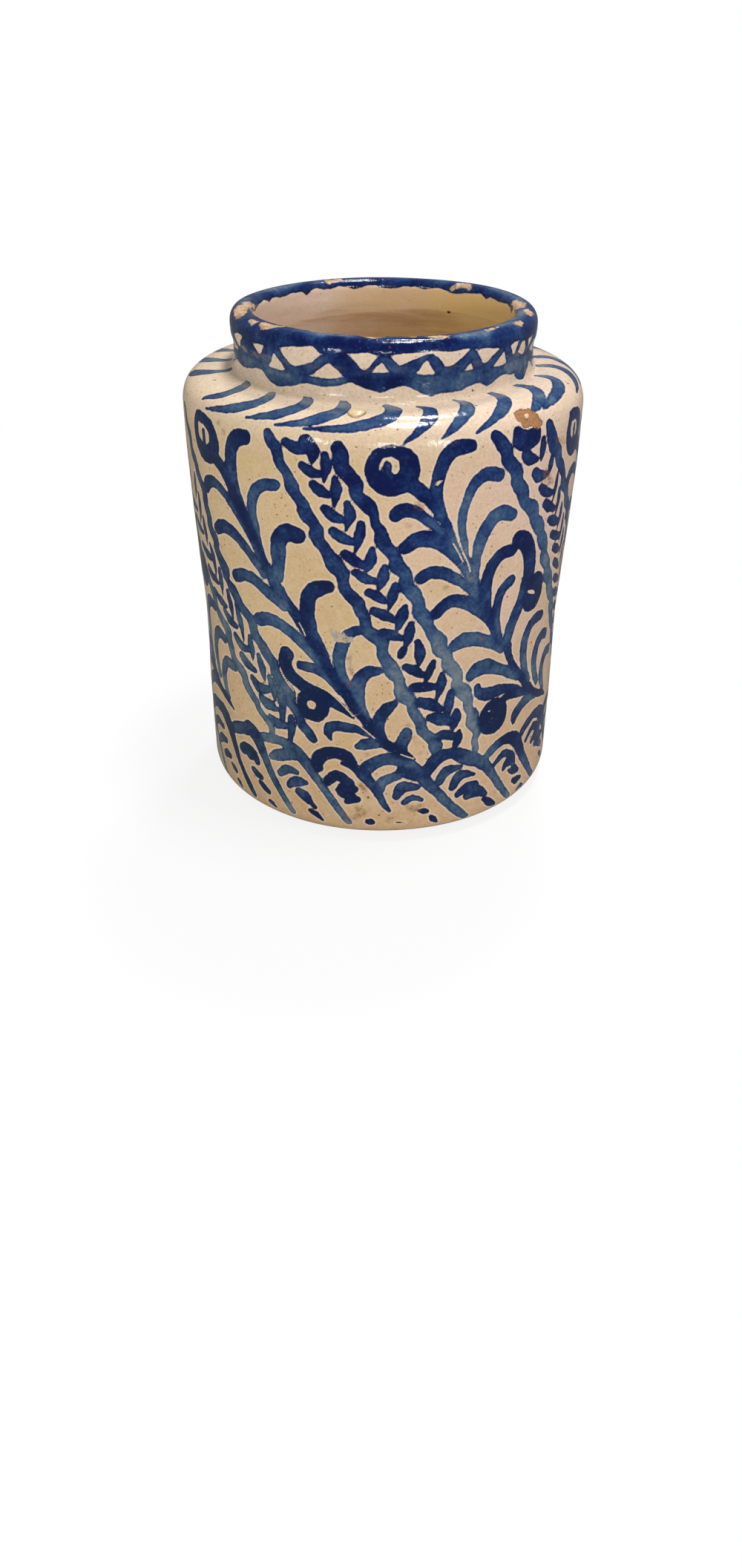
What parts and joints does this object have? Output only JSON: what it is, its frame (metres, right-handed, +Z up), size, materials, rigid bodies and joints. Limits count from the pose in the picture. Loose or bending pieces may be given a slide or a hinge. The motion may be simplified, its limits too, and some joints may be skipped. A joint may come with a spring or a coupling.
{
  "type": "storage jar",
  "caption": "Wide-mouthed glazed earthenware storage jar with an upright wall, turned-in shoulder, short neck and rolled rim, brush painted in cobalt blue.",
  "frame": {"origin": "centre of the flat underside that the jar stands on", "axes": "+Z up along the jar's axis of turning; -Y towards the side seen in the picture, +X to the right as seen from there"},
  "size_m": [0.239, 0.239, 0.3008],
  "materials": {
    "clay": "fired buff earthenware, unglazed, matt and slightly gritty",
    "painted_glaze": "warm cream glaze over cobalt blue brushwork, glossy, slightly wavy, with iron specks, pinholes and worn spots",
    "honey_glaze": "thin transparent honey glaze over the clay, glossy, with throwing rings showing through",
    "pale_glaze": "thick pale glaze, glossy"
  },
  "bodies": {
    "root": {"floor_slab": "clay", "body_wall": "clay", "shoulder_ring": "clay", "neck_collar": "clay", "rim_roll": "clay", "outer_glaze": "painted_glaze", "inner_glaze": "honey_glaze", "glaze_drop": "pale_glaze", "scar_bead": "pale_glaze"}
  },
  "joints": []
}
